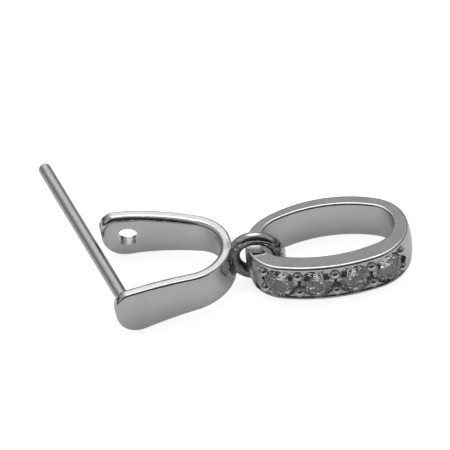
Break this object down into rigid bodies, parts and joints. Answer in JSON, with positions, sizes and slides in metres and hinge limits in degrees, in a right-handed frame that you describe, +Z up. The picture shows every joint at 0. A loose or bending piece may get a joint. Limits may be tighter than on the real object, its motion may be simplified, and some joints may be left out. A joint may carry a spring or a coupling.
{
  "type": "pinch bail finding",
  "caption": "Jewellery finding with a spread strap clasp, a long pin that closes it, a round linking eye and an oval bail set with a row of round stones.",
  "frame": {"origin": "under the middle of the whole part, on the table it lies on", "axes": "+Z up from the table; +X from the clasp's mouth towards the oval bail's round end; +Y away from the wall that carries the stones"},
  "size_m": [0.0178, 0.0124, 0.0029],
  "materials": {
    "silver": "polished silver with fine handling marks",
    "stone": "clear faceted"
  },
  "bodies": {
    "clasp": {"pinch_clasp": "silver"},
    "bail": {"oval_bail": "silver", "stone_1": "stone", "stone_2": "stone", "stone_3": "stone", "stone_4": "stone"}
  },
  "joints": [
    {"name": "bail_swing", "type": "hinge", "parent": "clasp", "child": "bail", "pos_m": [0.00115, -0.00342, 0.00147], "axis": [0, 0, 1], "range_deg": [-15, 15]}
  ]
}
